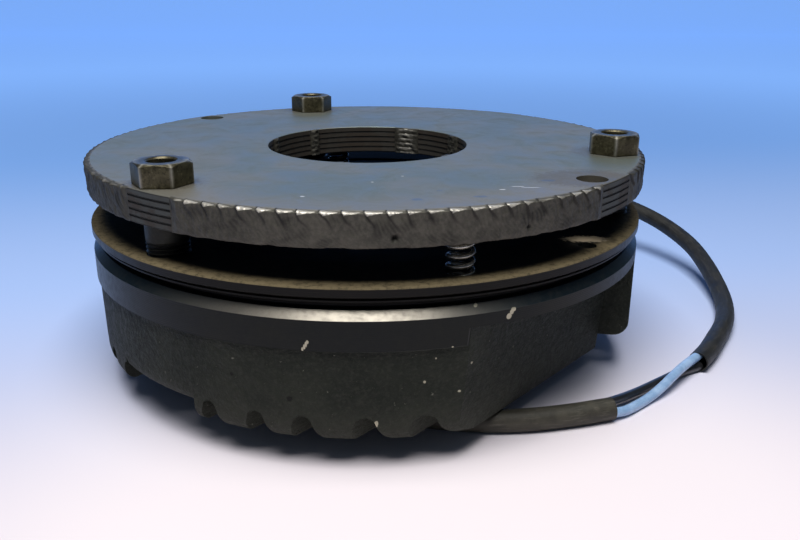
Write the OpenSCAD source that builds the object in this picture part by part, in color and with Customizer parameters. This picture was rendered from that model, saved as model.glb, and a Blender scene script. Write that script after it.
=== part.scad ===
// Spring-applied electromagnetic disc brake, magnet assembly with laminated armature plate.
// The pole axis is Z. The origin is on the axis, in the plane the hub collar stands on.

/* [Overall] */
// Diameter of the pole flange and of the welded armature plate
outer_d = 150; // [148:1:156]
// Distance of the sleeve bolts' circle inside the flange edge
bolt_inset = 8; // [8:0.25:9]
// Direction of the first sleeve bolt
bolt_azimuth = 107; // [100:1:112]

/* [Magnet housing] */
// Height from the fin tips to the pole face
housing_h = 37; // [36:0.5:42]
// Distance from the circle of the inner springs in to the shaft bore
bore_inset = 9.5; // [8:0.25:11]
// Chamfer at both ends of the shaft bore
bore_chamfer = 1; // [0.4:0.1:1.5]
// Wall of the hub collar on the back
hub_wall = 11.5; // [9:0.5:13]
// Height that the hub collar stands below the fin tips
hub_proud = 6; // [5.8:0.2:9]
// Thickness of the thin disc that carries the pole face
rim_disc_t = 2.3; // [1.8:0.1:3]
// Small chamfer round the disc and the rib
edge_chamfer = 0.3; // [0.1:0.05:0.4]
// Depth of the thin slit below the disc
slit_depth = 2; // [1:0.25:3]
// Height of the thin slit below the disc
slit_h = 0.4; // [0.3:0.1:0.8]
// Height of the turned rib below the slit
rib_h = 0.9; // [0.7:0.1:1.4]
// How far the rib stays inside the flange edge
rib_inset = 0.8; // [0.4:0.1:1.2]
// Height of the dust groove below the rib
dust_groove_h = 1.8; // [1.2:0.1:2.4]
// Depth of the dust groove
dust_groove_depth = 3.5; // [2.5:0.25:4]
// Chamfer of the shoulder below the dust groove
shoulder_chamfer = 1.8; // [1:0.1:2.2]
// Height of the machined band below the shoulder
band_h = 6.9; // [5:0.1:8]
// How far the cast wall lies inside the machined band
cast_inset = 0.6; // [0.4:0.1:1]
// Draft of the cast wall over its height
cast_draft = 0.3; // [0:0.1:0.8]
// Radius round the lower edge of the cast wall
foot_round = 5; // [3:0.25:5]

/* [Cooling fins] */
// Distance from one fin to the next
fin_pitch = 10.4; // [10.25:0.05:10.4]
// Scale of the casting's small errors in the places of the grooves
cast_error = 1; // [0:0.1:1]
// Depth of the grooves between the fins
fin_h = 7; // [6:0.25:7]
// How far all grooves lie off the middle, towards the first flat
groove_shift = 1.1; // [0.8:0.1:1.1]
// Radius of the groove roof
groove_r = 1.8; // [1.5:0.1:1.8]
// Radius along the edges of the fin tips
fin_tip_r = 1.5; // [1:0.1:1.5]
// Radius along the edges of the outermost grooves and of the flats
outer_tip_r = 0.6; // [0.4:0.1:0.6]
// Draft angle of the fin flanks
fin_draft = 15; // [10:1:15]
// Direction that the first flat faces
flat_azimuth = -42.3; // [-46:0.1:-40]
// How far the flats' lower edges lie inside the flange edge
flat_inset = 12.6; // [12:0.1:12.6]
// Draft angle of the two flats
flat_draft = 3.5; // [3:0.5:5]
// Thickness of the flange that stands over the flats
flange_t = 10.1; // [9.5:0.1:12]
// Radius of the two bolt bosses beside the flats
boss_r = 9.6; // [8.5:0.1:11]
// Radius of the boss at the fins' ends, which lies flush with the cast wall
end_boss_r = 13.6; // [11:0.1:14.5]
// Height of the screw seats above the fin tips
seat_recess = 4.5; // [3:0.25:5]
// Radius round the lower outer edge of the bosses
boss_round = 4; // [2:0.25:4]

/* [Magnet coil] */
// Wall between the sleeve bolts' holes and the coil groove
outer_pole_wall = 4; // [3:0.25:6]
// Radial width of the coil groove
coil_w = 16; // [14:0.5:18]
// Depth of the coil groove
coil_depth = 22; // [18:0.5:23]
// Wall of the coil former
former_wall = 1.2; // [0.8:0.1:2]
// Height of the cast resin over the winding
resin_h = 3; // [2:0.25:5]
// How far the resin stays below the pole face
resin_recess = 0.5; // [0.2:0.1:1]
// Clearance between the coil former and its groove
coil_clear = 0.1; // [0.05:0.05:0.3]

/* [Armature plate] */
// Number of steel laminations
lam_count = 5;
// Thickness of one lamination
lam_t = 1.55; // [1.4:0.05:1.8]
// Chamfer along the lamination edges
lam_chamfer = 0.2; // [0.1:0.05:0.3]
// How much further out the centre hole's edge lies than the shaft bore's
plate_bore_step = 5.1; // [4:0.1:5.6]
// Gap between the armature plate and the pole face with the springs extended
air_gap = 8.25; // [7:0.25:9]
// Radial height of the weld bead round the rim
weld_t = 1.4; // [1:0.1:2]
// How far the bare lamination edges lie below the bead
window_step = 0.5; // [0.2:0.1:0.9]
// Radius along the weld bead's two edges
weld_round = 1.2; // [0.6:0.1:1.3]
// Half width of the widest weld seam in the centre hole
seam_w = 4; // [2:0.1:5]
// Direction of the first bare stretch of the rim
window_azimuth = -39.5; // [-50:0.5:-35]
// Angle of one bare stretch
window_angle = 11.2; // [8:0.2:14]

/* [Sleeve bolts] */
// Width of the hexagon across its flats
hex_af = 12; // [12:0.5:13]
// Height of the hexagon
hex_h = 5.3; // [4:0.1:6.5]
// Diameter of the sleeve
sleeve_d = 10; // [9:0.1:10.4]
// Diameter of the screw bore through the sleeve
screw_bore_d = 6.6; // [6.4:0.1:7]
// Chamfer at the mouth of the screw bore
screw_chamfer = 0.4; // [0.2:0.1:0.6]
// Depth that the sleeve reaches into the housing
sleeve_depth = 21; // [16:0.5:23]
// Radial clearance of the armature plate on the sleeves
guide_clear = 0.08; // [0.04:0.01:0.1]
// Radial clearance of the sleeve in its tapped hole
thread_clear = 0.04; // [0.02:0.01:0.08]

/* [Pressure springs] */
// Wire diameter
spring_wire_d = 1.2; // [1:0.05:1.3]
// Outer diameter of the springs
spring_d = 6.6; // [6:0.1:6.8]
// Active turns of each spring
spring_turns = 10; // [8:1:11]
// Radial clearance of the springs in their bores
spring_clear = 0.2; // [0.1:0.05:0.3]
// Depth of the spring bores below the pole face
spring_depth = 17; // [14:0.5:18]
// Distance from the coil groove in to the circle of the inner springs
inner_spring_inset = 10; // [9:0.25:11]

/* [Release holes] */
// Distance of the release holes' circle inside the flange edge
release_inset = 5.4; // [5.4:0.1:7]
// Diameter of the release holes in the armature plate
release_plate_d = 7.4; // [6:0.2:7.4]
// Diameter of the release holes in the flange
release_flange_d = 4.6; // [4:0.2:5.2]

/* [Lead] */
// Direction in which the lead leaves the housing
lead_azimuth = 75;
// Height of the lead's axis above the bottom of the coil groove
lead_rise = 4.6; // [4.4:0.1:6]
// Outer diameter of the lead's sleeves
lead_d = 5.6;
// Diameter of one insulated conductor
conductor_d = 2.5;
// Diameter of the grommet's neck in the wall
grommet_neck_d = 8; // [7:0.1:8.4]
// Diameter of the grommet's collar
grommet_collar_d = 12.5; // [11:0.25:14]
// Thickness of the grommet's collar
grommet_collar_t = 2; // [1.5:0.25:3]
// Length of the grommet's tapered nose
grommet_nose = 9.2;
// Diameter of one end ferrule
ferrule_d = 1.8; // [1.5:0.1:2]
// Length of one end ferrule
ferrule_l = 8; // [6:0.5:10]

/* [Hidden] */

// Heights of the main planes, from the standing plane up
z_tips = hub_proud;
z_pole = z_tips + housing_h;
z_plate = z_pole + air_gap;
z_top = z_plate + lam_count * lam_t;
// Heights along the turned flange, from the pole face down
z_disc = z_pole - rim_disc_t;
z_rib_top = z_disc - slit_h;
z_rib_low = z_rib_top - rib_h;
z_groove_low = z_rib_low - dust_groove_h;
z_band_top = z_groove_low - shoulder_chamfer;
z_band_low = z_band_top - band_h;
z_flat_top = z_pole - flange_t;
z_roof = z_tips + fin_h;
z_seat = z_tips + seat_recess;
z_coil = z_pole - coil_depth;
z_spring = z_pole - spring_depth;
z_lead = z_coil + lead_rise;
// Radii of the housing
flange_r = outer_d / 2;
cast_top_r = flange_r - cast_inset;
cast_low_r = cast_top_r - cast_draft;
// Circles inside it, from the flange edge in to the shaft
bolt_r = flange_r - bolt_inset;
release_r = flange_r - release_inset;
flat_r = flange_r - flat_inset;
groove_out_r = bolt_r - sleeve_d / 2 - outer_pole_wall;
groove_in_r = groove_out_r - coil_w;
inner_spring_r = groove_in_r - inner_spring_inset;
bore_r = inner_spring_r - bore_inset;
plate_bore_r = bore_r + plate_bore_step;
hub_r = bore_r + hub_wall;
// The outermost fin's outer edge radius and the flat above it
flat_tip_x = flat_r - outer_tip_r;
flat_top_x = flat_tip_x + outer_tip_r * cos(flat_draft)
             + (z_flat_top - z_tips - outer_tip_r * (1 - sin(flat_draft))) * tan(flat_draft);
// Distance from a groove's middle to the centre of a fin edge of radius r
function tip_x(r) = (r + groove_r + (fin_h - groove_r - r) * sin(fin_draft)) / cos(fin_draft);
// Grooves on each side of the middle, as many as fit between the flats
last_error = -0.4 * cast_error;
groove_room = flat_tip_x - tip_x(outer_tip_r) - groove_shift - last_error;
grooves_per_side = floor(groove_room / fin_pitch + 0.5);
// Middle of each groove across the fins, with the casting's small errors on the first flat's side
groove_error = [0, 0.1, 1.1, 0.4, 1];
function stray(i) = i == grooves_per_side - 1 ? last_error
    : i < 0 || i > 4 ? 0
    : groove_error[i] * cast_error;
groove_x = [for (i = [-grooves_per_side:grooves_per_side - 1])
    groove_shift + (i + 0.5) * fin_pitch + stray(i)];
// Radii of the armature plate
weld_in_r = flange_r - weld_t;
lam_r = flange_r - window_step;
window_count = 4;
weld_arc = 360 / window_count - window_angle;
// Weld seams in the centre hole: direction and half width of each, as a share of the widest
bore_seams = [[24, 0.7], [64, 1], [126, 0.4], [164, 0.35], [257, 0.45], [318, 0.5]];
// Directions of the sleeve bolts and the turn of each hexagon
bolt_az = [for (i = [0:2]) bolt_azimuth + 120 * i];
hex_turn = [8, 0.6, 18.5];
spring_az = [for (a = bolt_az) a + 60];
boss_radii = [boss_r, end_boss_r, boss_r];
spring_mean_r = (spring_d - spring_wire_d) / 2;
spring_bore_r = spring_d / 2 + spring_clear;
spring_seat_clear = 0.02;
spring_h = spring_depth + air_gap - spring_seat_clear;
reach = flange_r + 10;

// Route of the long sleeve, from the grommet's nose round to its open end
long_route = [[22, 83, 25.6], [25, 93, 25.4], [30.5, 102, 24.8], [39, 109, 24], [50, 113, 23],
              [62, 113.5, 22], [74, 111, 21], [85, 105.5, 20], [95, 98, 18.8], [103.5, 88.5, 17.2],
              [111, 78, 15], [116, 67, 12.6], [119, 55.5, 10], [119.5, 43.5, 7.4], [118.5, 31.5, 5.2],
              [116.5, 20, 3.6], [113, 9, 2.8], [108, -1.5, 2.8], [102, -11, 2.8], [96, -20, 2.8],
              [90.5, -27, 2.8]];
// Routes of the two bare conductors between the sleeves
blue_route = [[91, -25.5, 4.1], [87.1, -29.4, 4.1], [83, -33.7, 4], [79.1, -38, 3.6], [75.3, -41.6, 2.6],
              [71.4, -44.6, 1.5], [66.8, -48.4, 1.25], [62.6, -51.8, 1.6], [58.4, -53.7, 2.1]];
black_route = [[91.3, -26.6, 1.5], [86.3, -29.2, 1.3], [81.7, -32.1, 1.25], [77, -35.6, 1.25],
               [72.3, -39.1, 1.25], [67.7, -42.8, 1.6], [63.1, -47, 2.5], [58.4, -51, 3.5]];
// Route of the short sleeve, from its open end to the hidden end under the housing
short_route = [[59.2, -52.6, 2.8], [49, -55.4, 2.8], [38, -57.4, 2.8], [27, -57.6, 2.8], [16, -55.8, 2.8],
               [5, -52.2, 2.8], [-5, -47.8, 2.8], [-15, -44.6, 2.8], [-26, -43, 2.8]];
// Direction of the two ferrules at the hidden end, and the distance between them
short_end = short_route[len(short_route) - 1] - short_route[len(short_route) - 2];
ferrule_dir = atan2(short_end[1], short_end[0]);
ferrule_gap = 2.6;

function unit(v) = v / norm(v);
function tangent(p, i) = unit(p[min(i + 1, len(p) - 1)] - p[max(i - 1, 0)]);
// Points of one ring of radius r about c, square to the direction t
function ring(c, t, r, sides) =
    let (side = unit(cross(t, [0, 0, 1])), up = cross(side, t))
    [for (j = [0:sides - 1]) c + r * (cos(360 * j / sides) * side + sin(360 * j / sides) * up)];

// A closed skin over rings of equal length
module skin(rings) {
    n = len(rings[0]);
    m = len(rings);
    polyhedron(
        points = [for (r = rings) for (p = r) p],
        faces = concat(
            [[for (j = [n - 1:-1:0]) j]],
            [for (i = [0:m - 2]) for (j = [0:n - 1])
                [i * n + j, i * n + (j + 1) % n, (i + 1) * n + (j + 1) % n, (i + 1) * n + j]],
            [[for (j = [0:n - 1]) (m - 1) * n + j]]));
}

// A round cord swept along its route
module cord(route, d, sides = 8) {
    skin([for (i = [0:len(route) - 1]) ring(route[i], tangent(route, i), d / 2, sides)]);
}

module on_bolt_circle(r, directions) {
    for (a = directions)
        rotate(a)
            translate([r, 0, 0])
                children();
}

// Section of the cast body: drafted wall with a round foot
module cast_section() {
    z_foot = z_tips - 0.03 + foot_round;
    polygon([[0, z_foot], [cast_low_r, z_foot], [cast_top_r, z_band_low], [0, z_band_low]]);
    translate([cast_low_r - foot_round, z_foot])
        intersection() {
            circle(foot_round, $fn = 24);
            translate([-foot_round, -foot_round])
                square([2 * foot_round, foot_round]);
        }
    translate([0, z_foot - foot_round])
        square([cast_low_r - foot_round, foot_round]);
}

// Section of the turned flange above it
module flange_section() {
    polygon([[0, z_band_low], [flange_r, z_band_low], [flange_r, z_band_top],
             [flange_r - shoulder_chamfer, z_groove_low],
             [flange_r - dust_groove_depth, z_groove_low],
             [flange_r - dust_groove_depth, z_rib_low],
             [flange_r - rib_inset - edge_chamfer, z_rib_low],
             [flange_r - rib_inset, z_rib_low + edge_chamfer],
             [flange_r - rib_inset, z_rib_top - edge_chamfer],
             [flange_r - rib_inset - edge_chamfer, z_rib_top],
             [flange_r - slit_depth, z_rib_top], [flange_r - slit_depth, z_disc],
             [flange_r - edge_chamfer, z_disc], [flange_r, z_disc + edge_chamfer],
             [flange_r, z_pole - edge_chamfer], [flange_r - edge_chamfer, z_pole], [0, z_pole]]);
}

// Outer form of the housing, before the fins and flats are cut
module housing_blank() {
    rotate_extrude($fn = 96) {
        cast_section();
        flange_section();
    }
}

// Points along an arc of n steps
function arc(c, r, from, to, n) =
    [for (i = [0:n]) let (a = from + (to - from) * i / n) c + r * [cos(a), sin(a)]];

// Edge of the groove at x: fin edge of radius r1, drafted flank, round roof, down to radius r2
function groove_edge(x, r1, r2) =
    concat(arc([x - tip_x(r1), z_tips + r1], r1, 270, 360 - fin_draft, 5),
           arc([x, z_roof - groove_r], groove_r, 180 - fin_draft, fin_draft, 9),
           arc([x + tip_x(r2), z_tips + r2], r2, 180 + fin_draft, 270, 5));

// Everything cut off the back: all grooves and the space outside the two drafted flats
module back_cut() {
    last = 2 * grooves_per_side - 1;
    tip = z_tips + outer_tip_r;
    rotate(flat_azimuth)
        translate([0, reach, 0])
            rotate([90, 0, 0])
                linear_extrude(2 * reach)
                    polygon(concat(
                        [[-reach, z_tips - 1], [-reach, z_flat_top], [-flat_top_x, z_flat_top]],
                        arc([-flat_tip_x, tip], outer_tip_r, 180 + flat_draft, 270, 5),
                        [for (i = [0:last])
                            each groove_edge(groove_x[i], i == 0 ? outer_tip_r : fin_tip_r,
                                             i == last ? outer_tip_r : fin_tip_r)],
                        arc([flat_tip_x, tip], outer_tip_r, 270, 360 - flat_draft, 5),
                        [[flat_top_x, z_flat_top], [reach, z_flat_top], [reach, z_tips - 1]]));
}

// Outline of bolt boss i between two heights, open to the outside
module boss_outline(i, z_low, z_high) {
    r = boss_radii[i];
    on_bolt_circle(bolt_r, [bolt_az[i]])
        translate([0, 0, z_low]) {
            cylinder(r = r, h = z_high - z_low, $fn = 64);
            translate([0, 0.05 - r, 0])
                cube([reach - bolt_r, 2 * r - 0.1, z_high - z_low]);
        }
}

// Solid boss round screw i, out to the wall of radius wall_r and rounded below
module boss(i, wall_r) {
    inner_r = bolt_r - 2 * boss_r;
    intersection() {
        rotate_extrude($fn = 96)
            polygon(concat([[inner_r, z_seat]],
                           arc([wall_r - boss_round, z_seat + boss_round], boss_round, 270, 360, 6),
                           [[wall_r, z_flat_top + 1], [inner_r, z_flat_top + 1]]));
        boss_outline(i, z_seat - 1, z_flat_top + 2);
    }
}

module magnet_housing() {
    color("#34373a")
        difference() {
            union() {
                difference() {
                    housing_blank();
                    back_cut();
                    for (i = [0:2])
                        boss_outline(i, z_tips - 1, z_seat + boss_round);
                }
                boss(0, flange_r - 0.03);
                boss(1, cast_low_r + 0.04);
                boss(2, flange_r - 0.03);
                cylinder(r = hub_r, h = z_roof + 1, $fn = 96);
            }
            translate([0, 0, -1])
                cylinder(r = bore_r, h = z_pole + 2, $fn = 96);
            translate([0, 0, -0.01])
                cylinder(r1 = bore_r + bore_chamfer, r2 = bore_r, h = bore_chamfer, $fn = 96);
            translate([0, 0, z_pole - bore_chamfer])
                cylinder(r1 = bore_r, r2 = bore_r + bore_chamfer, h = bore_chamfer + 0.01, $fn = 96);
            translate([0, 0, z_coil])
                difference() {
                    cylinder(r = groove_out_r, h = coil_depth + 1, $fn = 120);
                    translate([0, 0, -1])
                        cylinder(r = groove_in_r, h = coil_depth + 3, $fn = 120);
                }
            on_bolt_circle(bolt_r, bolt_az) {
                translate([0, 0, z_pole - sleeve_depth - 1])
                    cylinder(r = sleeve_d / 2 + thread_clear, h = sleeve_depth + 2, $fn = 48);
                cylinder(r = screw_bore_d / 2, h = z_pole, $fn = 48);
            }
            on_bolt_circle(bolt_r, spring_az)
                spring_bore();
            on_bolt_circle(inner_spring_r, bolt_az)
                spring_bore();
            on_bolt_circle(release_r, [flat_azimuth, flat_azimuth + 180])
                translate([0, 0, z_flat_top - 1])
                    cylinder(r = release_flange_d / 2, h = flange_t + 2, $fn = 32);
            lead_axis()
                cylinder(r = grommet_neck_d / 2 + coil_clear, h = reach, $fn = 48);
        }
}

module spring_bore() {
    translate([0, 0, z_spring])
        cylinder(r = spring_bore_r, h = spring_depth + 1, $fn = 48);
}

// Puts a child's Z axis along the lead, starting inside the coil groove
module lead_axis() {
    rotate(lead_azimuth)
        translate([groove_out_r - former_wall, 0, z_lead])
            rotate([0, 90, 0])
                children();
}

// Ring with a rectangular section
module ring_solid(r_in, r_out, z_low, z_high) {
    translate([0, 0, z_low])
        difference() {
            cylinder(r = r_out, h = z_high - z_low, $fn = 120);
            translate([0, 0, -1])
                cylinder(r = r_in, h = z_high - z_low + 2, $fn = 120);
        }
}

coil_in_r = groove_in_r + coil_clear;
coil_out_r = groove_out_r - coil_clear;
z_resin_top = z_pole - resin_recess;
z_winding_top = z_resin_top - resin_h;

module coil_former() {
    color("#b9b2a0")
        difference() {
            ring_solid(coil_in_r, coil_out_r, z_coil, z_winding_top);
            ring_solid(coil_in_r + former_wall, coil_out_r - former_wall,
                       z_coil + former_wall, z_winding_top + 1);
        }
}

module coil_winding() {
    color("#a4562c")
        ring_solid(coil_in_r + former_wall, coil_out_r - former_wall,
                   z_coil + former_wall, z_winding_top);
}

module coil_resin() {
    color("#2b2622")
        ring_solid(coil_in_r, coil_out_r, z_winding_top, z_resin_top);
}

// The arcs of the rim that the weld bead covers
module weld_arcs() {
    for (k = [0:window_count - 1])
        rotate(window_azimuth + window_angle / 2 + 360 / window_count * k)
            rotate_extrude(angle = weld_arc, $fn = 180)
                children();
}

// One lamination, counted from the bottom: bare edge in the windows, cut back under the bead
module lamination(i) {
    z_low = z_plate + (i - 1) * lam_t;
    c = lam_chamfer;
    color("#5e646b")
        difference() {
            translate([0, 0, z_low])
                rotate_extrude($fn = 180)
                    polygon([[plate_bore_r + c, 0], [lam_r - c, 0], [lam_r, c], [lam_r, lam_t - c],
                             [lam_r - c, lam_t], [plate_bore_r + c, lam_t],
                             [plate_bore_r, lam_t - c], [plate_bore_r, c]]);
            weld_arcs()
                translate([weld_in_r, z_low - 1])
                    square([weld_t + 2, lam_t + 2]);
            on_bolt_circle(bolt_r, bolt_az)
                translate([0, 0, z_low - 1])
                    cylinder(r = sleeve_d / 2 + guide_clear, h = lam_t + 2, $fn = 48);
            on_bolt_circle(release_r, [flat_azimuth, flat_azimuth + 180])
                translate([0, 0, z_low - 1])
                    cylinder(r = release_plate_d / 2, h = lam_t + 2, $fn = 48);
        }
}

// Section of the weld bead, rounded along both outer edges
module weld_section() {
    translate([weld_in_r, z_plate + weld_round])
        square([weld_t, z_top - z_plate - 2 * weld_round]);
    translate([weld_in_r, z_plate])
        square([weld_t - weld_round, z_top - z_plate]);
    for (z = [z_plate + weld_round, z_top - weld_round])
        translate([flange_r - weld_round, z])
            circle(weld_round, $fn = 48);
}

module rim_weld() {
    color("#4a4944")
        weld_arcs()
            intersection() {
                weld_section();
                translate([weld_in_r, z_plate])
                    square([weld_t, z_top - z_plate]);
            }
}

// Vertical seams that hold the laminations together in the centre hole
module bore_weld() {
    color("#55524b")
        for (seam = bore_seams)
            intersection() {
                translate([0, 0, z_plate])
                    cylinder(r = plate_bore_r, h = z_top - z_plate, $fn = 180);
                rotate(seam[0])
                    translate([plate_bore_r, 0, z_plate])
                        scale([1 / (seam[1] * seam_w), 1, 1])
                            cylinder(r = seam[1] * seam_w, h = z_top - z_plate, $fn = 32);
            }
}

// Hexagon sleeve with a through bore, turned in place
module sleeve_bolt(i) {
    hex_r = hex_af / 2 / cos(30);
    screw_r = screw_bore_d / 2;
    low = z_pole - sleeve_depth;
    crown = (hex_r - hex_af / 2 * 0.95) * tan(30);
    color("#55534a")
        on_bolt_circle(bolt_r, [bolt_az[i - 1]])
            difference() {
                union() {
                    translate([0, 0, low])
                        cylinder(r = sleeve_d / 2, h = z_top - low, $fn = 48);
                    translate([0, 0, z_top])
                        intersection() {
                            rotate(hex_turn[i - 1] - bolt_az[i - 1])
                                cylinder(r = hex_r, h = hex_h, $fn = 6);
                            rotate_extrude($fn = 64)
                                polygon([[0, 0], [hex_r + 0.1, 0], [hex_r + 0.1, hex_h - crown],
                                         [hex_af / 2 * 0.95, hex_h], [0, hex_h]]);
                        }
                }
                translate([0, 0, low - 1])
                    cylinder(r = screw_r, h = z_top - low + hex_h + 2, $fn = 48);
                translate([0, 0, z_top + hex_h - screw_chamfer])
                    cylinder(r1 = screw_r, r2 = screw_r + screw_chamfer, h = screw_chamfer + 0.01, $fn = 48);
            }
}

// Height of the wire's centre after t turns: closed end turns and open active turns
function spring_z(t) =
    let (dead = 1.04 * spring_wire_d,
         edge = spring_wire_d / 4,
         pitch = (spring_h - 2 * dead - 2 * edge) / spring_turns)
    edge + (t < 1 ? dead * t
            : t < spring_turns + 1 ? dead + pitch * (t - 1)
            : dead + pitch * spring_turns + dead * (t - 1 - spring_turns));

// One compression spring with ground ends, standing on the bottom of its bore
module spring_wire() {
    steps = 10;
    sides = 6;
    last = (spring_turns + 2) * steps;
    centres = [for (k = [0:last])
        [spring_mean_r * cos(360 * k / steps), spring_mean_r * sin(360 * k / steps),
         spring_z(k / steps)]];
    skin([for (k = [0:last])
        let (a = 360 * k / steps, t = unit([-sin(a), cos(a), 0.1]))
        [for (p = ring(centres[k], t, spring_wire_d / 2, sides))
            [p[0], p[1], min(max(p[2], 0), spring_h)]]]);
}

module outer_spring(i) {
    color("#8c8a84")
        on_bolt_circle(bolt_r, [spring_az[i - 1]])
            translate([0, 0, z_spring])
                spring_wire();
}

module inner_spring(i) {
    color("#8c8a84")
        on_bolt_circle(inner_spring_r, [bolt_az[i - 1]])
            translate([0, 0, z_spring])
                spring_wire();
}

// Rubber grommet: neck in the wall, collar outside and a tapered nose round the lead
module lead_grommet() {
    inside = groove_out_r - former_wall;
    seat = flange_r - inside;
    color("#1d1d1d")
        lead_axis() {
            translate([0, 0, former_wall + coil_clear])
                cylinder(r = grommet_neck_d / 2, h = seat - former_wall - coil_clear, $fn = 48);
            translate([0, 0, seat])
                cylinder(r = grommet_collar_d / 2, h = grommet_collar_t, $fn = 48);
            translate([0, 0, seat + grommet_collar_t])
                cylinder(r1 = grommet_neck_d / 2 + 0.6, r2 = lead_d / 2 + 0.5,
                         h = grommet_nose, $fn = 48);
        }
}

module lead_sleeve_long() {
    color("#202122")
        cord(long_route, lead_d);
}

module conductor_blue() {
    color("#8fb0d8")
        cord(blue_route, conductor_d);
}

module conductor_black() {
    color("#1b1c1e")
        cord(black_route, conductor_d);
}

module lead_sleeve_short() {
    color("#242424")
        cord(short_route, lead_d);
}

// Crimped ends of the two conductors
module end_ferrules() {
    color("#a9a9a6")
        for (s = [-1, 1])
            translate(short_route[len(short_route) - 1])
                rotate(ferrule_dir)
                    translate([0, s * ferrule_gap / 2, 0])
                        rotate([0, 90, 0])
                            cylinder(r = ferrule_d / 2, h = ferrule_l, $fn = 24);
}

magnet_housing();
coil_former();
coil_winding();
coil_resin();
lamination(1);  // lamination_1
lamination(2);  // lamination_2
lamination(3);  // lamination_3
lamination(4);  // lamination_4
lamination(5);  // lamination_5
rim_weld();
bore_weld();
sleeve_bolt(1);  // sleeve_bolt_1
sleeve_bolt(2);  // sleeve_bolt_2
sleeve_bolt(3);  // sleeve_bolt_3
outer_spring(1);  // outer_spring_1
outer_spring(2);  // outer_spring_2
outer_spring(3);  // outer_spring_3
inner_spring(1);  // inner_spring_1
inner_spring(2);  // inner_spring_2
inner_spring(3);  // inner_spring_3
lead_grommet();
lead_sleeve_long();
conductor_blue();
conductor_black();
lead_sleeve_short();
end_ferrules();
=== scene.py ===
"""Looks of a spring-applied disc brake: magnet housing, laminated armature plate, sleeve bolts, springs
and lead."""

import bpy
import numpy as np
from mathutils import Matrix, Vector


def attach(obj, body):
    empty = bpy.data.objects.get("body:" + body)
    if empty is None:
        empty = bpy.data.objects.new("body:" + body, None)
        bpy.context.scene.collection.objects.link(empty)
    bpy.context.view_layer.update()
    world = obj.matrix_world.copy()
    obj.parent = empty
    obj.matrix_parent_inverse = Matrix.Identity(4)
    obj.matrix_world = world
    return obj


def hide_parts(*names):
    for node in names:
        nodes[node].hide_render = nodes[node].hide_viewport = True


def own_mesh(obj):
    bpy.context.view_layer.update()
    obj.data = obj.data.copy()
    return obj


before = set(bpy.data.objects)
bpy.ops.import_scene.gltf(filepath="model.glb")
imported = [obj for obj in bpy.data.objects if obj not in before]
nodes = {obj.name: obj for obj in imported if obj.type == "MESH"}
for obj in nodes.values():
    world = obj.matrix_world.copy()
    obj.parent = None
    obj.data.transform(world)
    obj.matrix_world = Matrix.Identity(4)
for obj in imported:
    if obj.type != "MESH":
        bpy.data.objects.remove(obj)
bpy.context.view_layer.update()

MM = 0.001

# Heights and radii of the CAD model, in millimetres, from the plane the hub collar stands on
Z_PLATE = 51.25
Z_TOP = 59.0
Z_BOLT_LOW = 22.0
Z_SPRING = 26.0
SHEET = 1.55
FLANGE_R = 75.0
WELD_IN_R = 73.6
PLATE_BORE_R = 27.6
BOLT_R = 67.0
INNER_SPRING_R = 32.0
BOLT_DIRECTIONS = (107.0, 227.0, 347.0)
HEX_TURNS = (8.0, 0.6, 18.5)
SPRING_HEIGHT = 25.23

# Routes of the lead, as in the part's source, in millimetres
LONG_ROUTE = [(22, 83, 25.6), (25, 93, 25.4), (30.5, 102, 24.8), (39, 109, 24), (50, 113, 23),
              (62, 113.5, 22), (74, 111, 21), (85, 105.5, 20), (95, 98, 18.8), (103.5, 88.5, 17.2),
              (111, 78, 15), (116, 67, 12.6), (119, 55.5, 10), (119.5, 43.5, 7.4), (118.5, 31.5, 5.2),
              (116.5, 20, 3.6), (113, 9, 2.8), (108, -1.5, 2.8), (102, -11, 2.8), (96, -20, 2.8),
              (90.5, -27, 2.8)]
BLUE_ROUTE = [(91, -25.5, 4.1), (87.1, -29.4, 4.1), (83, -33.7, 4), (79.1, -38, 3.6), (75.3, -41.6, 2.6),
              (71.4, -44.6, 1.5), (66.8, -48.4, 1.25), (62.6, -51.8, 1.6), (58.4, -53.7, 2.1)]
BLACK_ROUTE = [(91.3, -26.6, 1.5), (86.3, -29.2, 1.3), (81.7, -32.1, 1.25), (77, -35.6, 1.25),
               (72.3, -39.1, 1.25), (67.7, -42.8, 1.6), (63.1, -47, 2.5), (58.4, -51, 3.5)]
SHORT_ROUTE = [(59.2, -52.6, 2.8), (49, -55.4, 2.8), (38, -57.4, 2.8), (27, -57.6, 2.8), (16, -55.8, 2.8),
               (5, -52.2, 2.8), (-5, -47.8, 2.8), (-15, -44.6, 2.8), (-26, -43, 2.8)]
SLEEVING_D = 5.6
SLEEVING_WALL = 0.35
CONDUCTOR_D = 2.5


def smooth_step(value):
    """3t^2 - 2t^3 of the value held between 0 and 1."""
    t = np.clip(value, 0.0, 1.0)
    return t * t * (3.0 - 2.0 * t)


def wave_noise(u, v, size, seed, waves=14):
    """Sum of plane waves of random direction, phase and length near size; about -1 to 1."""
    rng = np.random.default_rng(seed)
    direction = rng.uniform(0, 2 * np.pi, waves)
    number = 2 * np.pi / (size * rng.uniform(0.6, 1.7, waves))
    phase = rng.uniform(0, 2 * np.pi, waves)
    total = np.zeros(np.broadcast(u, v).shape)
    for a, k, p in zip(direction, number, phase):
        total = total + np.sin(k * (u * np.cos(a) + v * np.sin(a)) + p)
    return total / np.sqrt(waves)


def grid_faces(rows, columns, close_rows=False, close_columns=False):
    """Quads between neighbours on a grid of rows times columns, in the order row, column."""
    i = np.arange(rows if close_rows else rows - 1)
    j = np.arange(columns if close_columns else columns - 1)
    i, j = np.meshgrid(i, j, indexing="ij")
    down = (i + 1) % rows
    right = (j + 1) % columns
    quads = np.stack([i * columns + j, i * columns + right, down * columns + right, down * columns + j], -1)
    return quads.reshape(-1, 4)


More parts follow.
